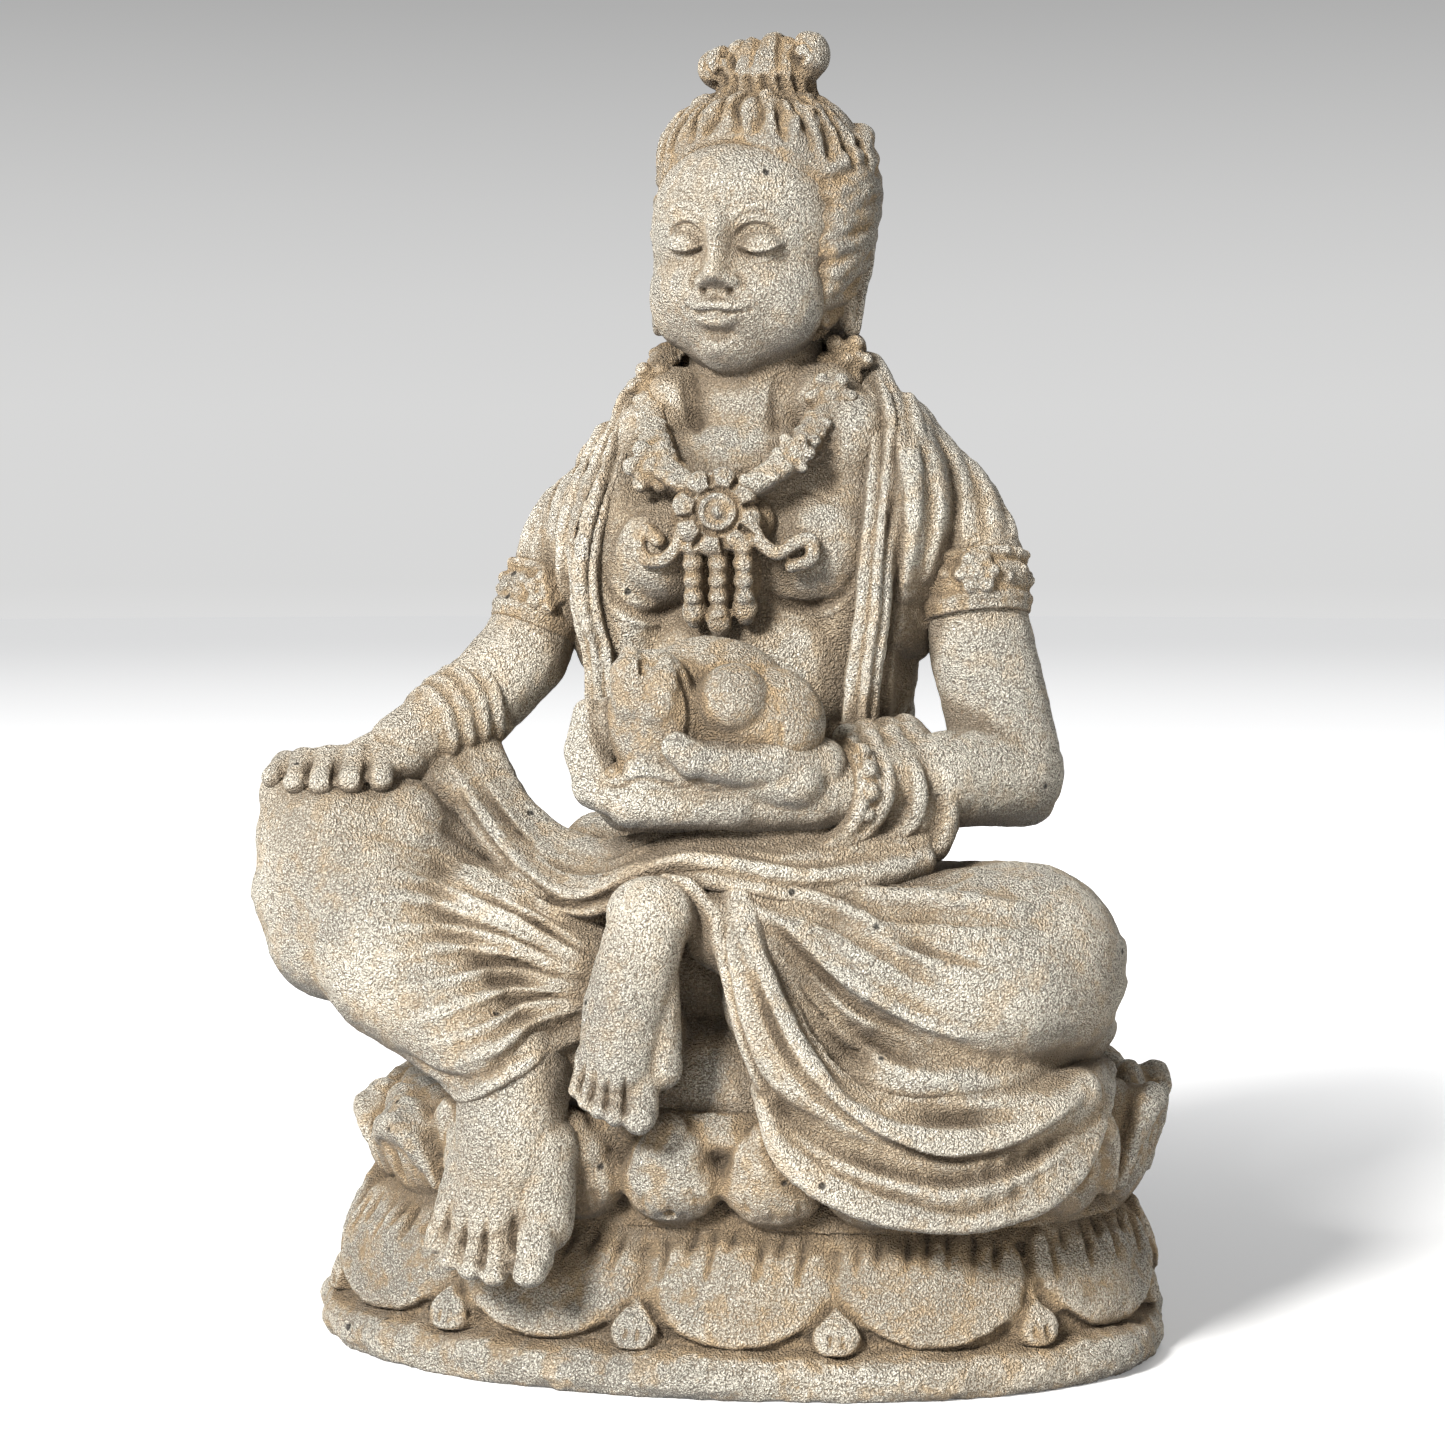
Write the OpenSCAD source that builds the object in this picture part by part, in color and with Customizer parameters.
// Seated figure on a lotus base, in cast stone, built up from blocks.
// Millimetres, +Z up. The origin is the middle of the underside.
// -Y is the front and +X is the figure's own left-hand side.
// The stone blocks meet on flat beds and are pinned with stainless rods.

/* [Base] */
// Width of the plinth
base_w = 282; // [270:1:300]
// Depth of the plinth
base_d = 196; // [188:1:210]
// Thickness of the plinth slab
plinth_h = 14; // [10:1:16]
// Height of the waist between the two rows of petals
waist_z = 48; // [44:1:50]
// Height of the seat that the figure rests on
seat_z = 84; // [82:1:86]
// Number of large petals that hang down
lower_petals_n = 11; // [10:1:14]
// Number of small petals that stand up
upper_petals_n = 20; // [16:1:22]
// How far a petal stands proud of the base
petal_relief = 3; // [2:0.5:4]

/* [Figure] */
// Radius of the skull
skull_r = 36; // [34:0.5:38]
// Radius of the neck
neck_r = 20; // [18:0.5:22]
// Radius of the upper arms
arm_r = 17; // [15:0.5:18]
// Radius of the raised and the folded knee
knee_r = 28; // [26:0.5:30]
// Radius of the flower bud held in the lap
bud_r = 23; // [21:0.5:25]
// How far the cloth hangs out over the base
cloth_t = 9; // [7:0.5:11]

/* [Pins] */
// Diameter of the rods through the base, the waist and the neck
rod_d = 8; // [6:1:10]
// Diameter of the pins in the arms, the bud and the topknot
pin_d = 5; // [4:0.5:6]

/* [Hidden] */

// facets of the rounded blocks, and of the pins and bores
$fn = 16;
fine = 48;
// a length longer than the whole object
far = 500;
stone = "tan";
pale = "wheat";
steel = "silver";

// corner sharpness of the plan outline: 2 is an ellipse, more is squarer
squareness = 2.3;
outline_steps = 48;
lower_foot = [base_w - 6, base_d - 6];
lower_top = [base_w - 40, base_d - 58];
upper_top = [base_w - 10, base_d - 14];
upper_foot = [lower_top.x - 2, lower_top.y];

// places of the figure's joints
hip_r = [-36, 6, 116];
hip_l = [38, 6, 116];
knee_right = [-119, -54, 160];
knee_left = [96, -42, 124];
ankle_right = [-57, -84, 90];
heel_left = [-10, -80, 142];
toe_left = [-15, -98, 96];
toe_right = [-52, -103, 45];
shoulder_right = [-62, 6, 258];
shoulder_left = [72, 6, 264];
elbow_right = [-73, -12, 214];
elbow_left = [88, -8, 183];
wrist_right = [-102, -44, 190];
wrist_left = [44, -52, 182];
bud = [-8, -72, 206];
skull = [4, -1, 356];

// flat beds between the blocks
waist_bed = 158;
neck_bed = 290;
crown_bed = 388;
flank_right = -40;
flank_left = 42;
hip_box = [70, 140];
hip_front = -54;
leg_split = -24;

// lengths along the arms, measured from the joint that each one starts at
band_w = 8;
band_right = 20;
band_left = 24;
cuff_right = [26, 36];
cuff_left = [32, 52];
bracelet_w = 6;

// ---- helpers ----

function power(v, p) = sign(v) * pow(abs(v), p);

// a point on the plan outline of width w and depth d, at angle t
function rim(size, t) = [size.x / 2 * power(cos(t), 2 / squareness),
    size.y / 2 * power(sin(t), 2 / squareness)];

// running length along the outline, as pairs of length and angle
function lengths(size, step = 3, t = 0, run = 0) = t > 360 ? []
    : concat([[run, t]], lengths(size, step, t + step,
        run + norm(rim(size, t + step) - rim(size, t))));

function unit(v) = v / norm(v);

function along(a, b, s) = a + unit(b - a) * s;

// a thin slab of the plan outline
module slab(size, z, t = 0.1) {
    translate([0, 0, z])
        linear_extrude(t)
            polygon([for (i = [0 : outline_steps - 1]) rim(size, 360 * i / outline_steps)]);
}

// a sloping ring of stone between two outlines
module block(size_low, z_low, size_high, z_high) {
    hull() {
        slab(size_low, z_low);
        slab(size_high, z_high - 0.1);
    }
}

// a limb between two round ends
module limb(a, ra, b, rb) {
    hull() {
        translate(a) sphere(ra);
        translate(b) sphere(rb);
    }
}

// turns +Z to point from a to b, and moves to a point s along the way
module aim(a, b, s = 0) {
    d = unit(b - a);
    translate(along(a, b, s))
        rotate([0, acos(d.z), atan2(d.y, d.x)])
            children();
}

// all the space past a plane across the line from a to b, s along it
module past(a, b, s) {
    aim(a, b, s)
        translate([-far / 2, -far / 2, 0])
            cube(far);
}

// all the space past the mitre plane where the limb a-b meets the limb b-c
module past_mitre(a, b, c) {
    past(b, b + unit(b - a) + unit(c - b), 0);
}

// all the space above height z
module above(z) {
    translate([-far / 2, -far / 2, z])
        cube(far);
}

// one flat petal with a round end, leaning on the base from its foot to its tip
module petal(foot, tip, side, width, length) {
    out = unit(cross(side, tip - foot)) * (tip.z > foot.z ? 1 : -1);
    slope = cross(out, side) * (tip.z > foot.z ? 1 : -1);
    multmatrix([for (i = [0 : 2]) [side[i], slope[i], out[i], foot[i]]])
        translate([0, 0, -petal_relief])
            linear_extrude(2 * petal_relief) {
                translate([-width / 2, 0]) square([width, length - width / 2]);
                translate([0, length - width / 2]) circle(d = width, $fn = 24);
            }
}

// a row of petals between two outlines, hanging from or standing on the waist
module petal_row(count, shift, size_foot, z_foot, size_tip, z_tip, fill, length) {
    run = lengths(size_foot);
    total = run[len(run) - 1][0];
    for (i = [0 : count - 1]) {
        t = lookup(total * (i + shift) / count, run);
        foot = rim(size_foot, t);
        tip = rim(size_tip, t);
        ahead = rim(size_foot, t + 2) - rim(size_foot, t - 2);
        petal([foot.x, foot.y, z_foot], [tip.x, tip.y, z_tip], unit([ahead.x, ahead.y, 0]),
            total / count * fill, length);
    }
}

// ---- raw shapes that more than one block uses ----

module lower_core() block(lower_foot, plinth_h, lower_top, waist_z);

module upper_core() block(upper_foot, waist_z, upper_top, seat_z);

module hip_region() {
    translate([-hip_box.x / 2, hip_front, seat_z])
        cube([hip_box.x, hip_box.y, far]);
}

module torso_mass() {
    hull() {
        for (side = [-1, 1]) {
            translate([side * 44, 5, 262]) sphere(28);
            translate([side * 20, -6, 236]) sphere(38);
            translate([side * 16, 3, 165]) sphere(31);
        }
    }
}

module right_leg_mass() {
    hull() {
        translate(hip_r) sphere(31);
        translate(knee_right) sphere(knee_r);
        translate(ankle_right) sphere(17);
        translate([-26, -64, 104]) sphere(16);
    }
}

module left_leg_mass() {
    hull() {
        translate(hip_l) sphere(32);
        translate(knee_left) sphere(knee_r + 3);
        translate([86, -24, 98]) sphere(18);
    }
    hull() {
        translate(knee_left) sphere(knee_r + 3);
        translate([4, -68, 142]) sphere(17);
        translate([14, -60, 98]) sphere(15);
    }
}

module left_foot_mass() limb(heel_left + [0, -4, -4], 13, toe_left, 10);

module bud_mass() limb(bud + [-9, 0, 0], bud_r, bud + [12, 2, 1], bud_r - 3);

module left_hand_mass() limb(wrist_left, 12, [-38, -80, 188], 9);

module head_mass() {
    hull() {
        translate(skull) sphere(skull_r);
        translate(skull + [-2, -9, -18]) sphere(28);
    }
}

// the bore or rod itself
module rod(at, z0, z1, d) {
    translate([at.x, at.y, z0])
        cylinder(h = z1 - z0, d = d, $fn = fine);
}

module base_rods_shape() for (x = [-22, 22]) rod([x, 12], 6, 118, rod_d);

module waist_rod_shape() rod([0, 6], 130, 190, rod_d);

module neck_rod_shape() rod([3, 2], 262, 326, rod_d);

module topknot_pin_shape() rod([5, 6], 376, 400, pin_d);

module bud_pin_shape() rod([bud.x, bud.y], 180, 208, pin_d);

module arm_pin_shape(a, b, s) {
    aim(a, b, s - 12)
        cylinder(h = band_w + 24, d = pin_d, $fn = fine);
}

module right_pin_shape() arm_pin_shape(shoulder_right, elbow_right, band_right);

module left_pin_shape() arm_pin_shape(shoulder_left, elbow_left, band_left);

// ---- base ----

module plinth() color(pale) {
    edge = 3;
    difference() {
        union() {
            slab([base_w - 2 * edge, base_d - 2 * edge], 0, edge);
            slab([base_w, base_d], edge, plinth_h - 2 * edge);
            slab([base_w - 2 * edge, base_d - 2 * edge], plinth_h - edge, edge);
        }
        base_rods_shape();
    }
}

module lower_petals() color(stone) {
    difference() {
        intersection() {
            union() {
                lower_core();
                petal_row(lower_petals_n, 0.45, lower_top, waist_z, lower_foot, plinth_h,
                    1.05, 36);
            }
            translate([-far / 2, -far / 2, plinth_h])
                cube([far, far, waist_z - plinth_h]);
        }
        base_rods_shape();
    }
}

module upper_petals() color(stone) {
    difference() {
        intersection() {
            union() {
                upper_core();
                petal_row(upper_petals_n, 0.7, upper_foot, waist_z, upper_top, seat_z,
                    0.92, 36);
            }
            translate([-far / 2, -far / 2, waist_z])
                cube([far, far, seat_z - waist_z]);
        }
        base_rods_shape();
    }
}

// ---- lower body ----

module hips() color(stone) {
    difference() {
        intersection() {
            hull() {
                translate(hip_r + [2, 2, 0]) sphere(36);
                translate(hip_l + [-2, 2, 0]) sphere(36);
                translate([0, 6, 150]) sphere(38);
                translate([0, 18, 98]) sphere(40);
                translate([2, -26, 118]) sphere(38);
            }
            hip_region();
        }
        above(waist_bed);
        base_rods_shape();
        waist_rod_shape();
    }
}

module right_leg() color(stone) {
    difference() {
        intersection() {
            right_leg_mass();
            above(seat_z);
            translate([leg_split - far, -far / 2, 0]) cube(far);
        }
        hip_region();
        torso_mass();
    }
}

module left_leg() color(stone) {
    difference() {
        intersection() {
            left_leg_mass();
            above(seat_z);
            translate([leg_split, -far / 2, 0]) cube(far);
        }
        hip_region();
        left_foot_mass();
        torso_mass();
    }
}

module right_foot() color(pale) {
    difference() {
        union() {
            limb(ankle_right + [0, -2, -6], 16, toe_right + [4, 6, 8], 13);
            limb(toe_right + [-12, 2, 0], 8, toe_right + [10, 0, 0], 10);
        }
        above(seat_z);
        upper_core();
        lower_core();
    }
}

module left_foot() color(pale) {
    difference() {
        left_foot_mass();
        upper_core();
    }
}

module skirt_swag() color(stone) {
    over = [2 * cloth_t, 2 * cloth_t];
    gap = [2 * petal_relief + 1, 2 * petal_relief + 1];
    difference() {
        intersection() {
            union() {
                block(upper_foot + over, waist_z, upper_top + over, seat_z);
                block(upper_top + over, seat_z, upper_top + over / 3, seat_z + 16);
            }
            translate([60, -20, 96])
                rotate([90, 0, 0])
                    cylinder(h = far, r = 50, $fn = fine);
            translate([-2, -far, 0]) cube(far * 2);
        }
        block(upper_foot + gap, waist_z, upper_top + gap, seat_z);
        lower_core();
        left_leg_mass();
        left_foot_mass();
        hip_region();
    }
}

module lap_sash() color(stone) {
    path = [[-84, -40, 178], [-64, -60, 154], [-26, -72, 162], [26, -66, 160], [66, -44, 158]];
    difference() {
        for (i = [0 : len(path) - 2]) limb(path[i], 8, path[i + 1], 8);
        right_leg_mass();
        left_leg_mass();
        left_foot_mass();
        hip_region();
        torso_mass();
        left_hand_mass();
        left_cuff_mass();
        limb(elbow_right, arm_r - 1, wrist_right, 11);
    }
}

// ---- upper body ----

module torso() color(stone) {
    difference() {
        intersection() {
            torso_mass();
            translate([flank_right, -far / 2, waist_bed])
                cube([flank_left - flank_right, far, neck_bed - waist_bed]);
        }
        waist_rod_shape();
        neck_rod_shape();
    }
}

module shawl(shoulder, elbow, s, flank, side) {
    difference() {
        union() {
            intersection() {
                torso_mass();
                translate([side > 0 ? flank : flank - far, -far / 2, waist_bed]) cube(far);
            }
            difference() {
                limb(shoulder, arm_r + 1, elbow, arm_r);
                past(shoulder, elbow, s);
                translate([side > 0 ? flank - far : flank, -far / 2, 0]) cube(far);
            }
        }
        arm_pin_shape(shoulder, elbow, s);
    }
}

module right_shawl() color(pale) shawl(shoulder_right, elbow_right, band_right, flank_right, -1);

module left_shawl() color(pale) shawl(shoulder_left, elbow_left, band_left, flank_left, 1);

// a ring of stone that hides the bed between the sleeve and the bare arm
module armband(shoulder, elbow, s) {
    difference() {
        aim(shoulder, elbow, s)
            cylinder(h = band_w, r = arm_r + 2, $fn = fine);
        torso_mass();
        arm_pin_shape(shoulder, elbow, s);
    }
}

module right_armband() color(stone) armband(shoulder_right, elbow_right, band_right);

module left_armband() color(stone) armband(shoulder_left, elbow_left, band_left);

module right_arm() color(pale) {
    difference() {
        union() {
            intersection() {
                limb(shoulder_right, arm_r, elbow_right, arm_r - 1);
                past(shoulder_right, elbow_right, band_right + band_w);
            }
            difference() {
                limb(elbow_right, arm_r - 1, wrist_right, 11);
                past(elbow_right, wrist_right, cuff_right[0]);
            }
        }
        torso_mass();
        right_pin_shape();
    }
}

module left_upper_arm() color(pale) {
    difference() {
        limb(shoulder_left, arm_r, elbow_left, arm_r - 1);
        past(elbow_left, shoulder_left, norm(shoulder_left - elbow_left) - band_left - band_w);
        past_mitre(shoulder_left, elbow_left, wrist_left);
        left_pin_shape();
    }
}

module left_forearm() color(pale) {
    difference() {
        limb(elbow_left, arm_r - 1, wrist_left, 12);
        past_mitre(wrist_left, elbow_left, shoulder_left);
        past(elbow_left, wrist_left, cuff_left[0]);
        torso_mass();
    }
}

module right_cuff() color(stone) {
    difference() {
        intersection() {
            limb(elbow_right, arm_r, wrist_right, 14);
            past(elbow_right, wrist_right, cuff_right[0]);
        }
        past(elbow_right, wrist_right, cuff_right[1]);
        right_leg_mass();
    }
}

module left_cuff_mass() {
    difference() {
        hull() {
            translate(along(elbow_left, wrist_left, cuff_left[0])) sphere(16);
            translate(along(elbow_left, wrist_left, cuff_left[1])) sphere(15);
            translate(along(elbow_left, wrist_left, cuff_left[0]) + [0, 0, -10]) sphere(14);
        }
        past(elbow_left, wrist_left, cuff_left[1]);
        past(wrist_left, elbow_left, norm(wrist_left - elbow_left) - cuff_left[0]);
    }
}

module left_cuff() color(stone) {
    difference() {
        left_cuff_mass();
        torso_mass();
        left_leg_mass();
    }
}

module left_bracelet() color(stone) {
    aim(elbow_left, wrist_left, cuff_left[1])
        cylinder(h = bracelet_w, r = 14, $fn = fine);
}

module right_hand() color(pale) {
    difference() {
        union() {
            limb(wrist_right, 11, [-118, -56, 188], 10);
            limb([-114, -50, 188], 9, [-138, -66, 176], 9);
        }
        past(wrist_right, elbow_right, norm(wrist_right - elbow_right) - cuff_right[1]);
        right_leg_mass();
    }
}

module left_hand() color(pale) {
    difference() {
        left_hand_mass();
        past(wrist_left, elbow_left, norm(wrist_left - elbow_left) - cuff_left[1] - bracelet_w);
        bud_mass();
        left_leg_mass();
        torso_mass();
        bud_pin_shape();
    }
}

module lotus_bud() color(stone) {
    difference() {
        bud_mass();
        torso_mass();
        bud_pin_shape();
    }
}

// ---- head ----

// all the space behind and above the hairline
module behind_hairline() {
    past([0, -34, 380], [0, 3, 413.5], 0);
}

module head() color(pale) {
    difference() {
        union() {
            head_mass();
            translate([3, 1, neck_bed]) cylinder(h = 40, r = neck_r, $fn = fine);
        }
        behind_hairline();
        neck_rod_shape();
    }
}

module hair() color(stone) {
    difference() {
        intersection() {
            hull() {
                translate(skull + [0, 2, 1]) sphere(skull_r + 2);
                translate(skull + [0, 10, -14]) sphere(skull_r - 8);
            }
            behind_hairline();
        }
        above(crown_bed);
        topknot_pin_shape();
    }
}

module topknot() color(stone) {
    difference() {
        union() {
            limb([4, 6, 380], 21, [3, 5, 398], 13);
            limb([-6, 5, 402], 10, [4, 5, 408], 10);
            limb([16, 5, 406], 10, [22, 5, 409], 11);
        }
        translate([-far / 2, -far / 2, crown_bed - far]) cube(far);
        topknot_pin_shape();
    }
}

// ---- ornaments ----

function chain_point(u) = [u * 30 + 2, -42 + 34 * abs(u) + 6 * u * u, 268 + 28 * u * u];

module necklace() color(stone) {
    beads = 12;
    difference() {
        for (i = [0 : beads - 1])
            limb(chain_point(-1 + 2 * i / beads), 5, chain_point(-1 + 2 * (i + 1) / beads), 5);
        torso_mass();
        translate([3, 1, neck_bed]) cylinder(h = 40, r = neck_r);
        pendant_shape();
    }
}

module pendant_shape() {
    translate([-3, -40, 266])
        rotate([90, 0, 0]) {
            cylinder(h = 9, r = 14, $fn = fine);
            for (x = [-10, 0, 10])
                translate([x - 3, x == 0 ? -36 : -30, -6]) cube([6, 30, 12]);
        }
}

module pendant() color(pale) {
    difference() {
        pendant_shape();
        torso_mass();
    }
}

// ---- rods and pins ----

module base_rods() color(steel) base_rods_shape();

module waist_rod() color(steel) waist_rod_shape();

module neck_rod() color(steel) neck_rod_shape();

module arm_pins() color(steel) {
    right_pin_shape();
    left_pin_shape();
}

module bud_pin() color(steel) bud_pin_shape();

module topknot_pin() color(steel) topknot_pin_shape();

plinth();
lower_petals();
upper_petals();
hips();
right_leg();
left_leg();
right_foot();
left_foot();
skirt_swag();
lap_sash();
torso();
right_shawl();
left_shawl();
right_armband();
left_armband();
right_arm();
left_upper_arm();
left_forearm();
right_cuff();
left_cuff();
left_bracelet();
right_hand();
left_hand();
lotus_bud();
head();
hair();
topknot();
necklace();
pendant();
base_rods();
waist_rod();
neck_rod();
arm_pins();
bud_pin();
topknot_pin();
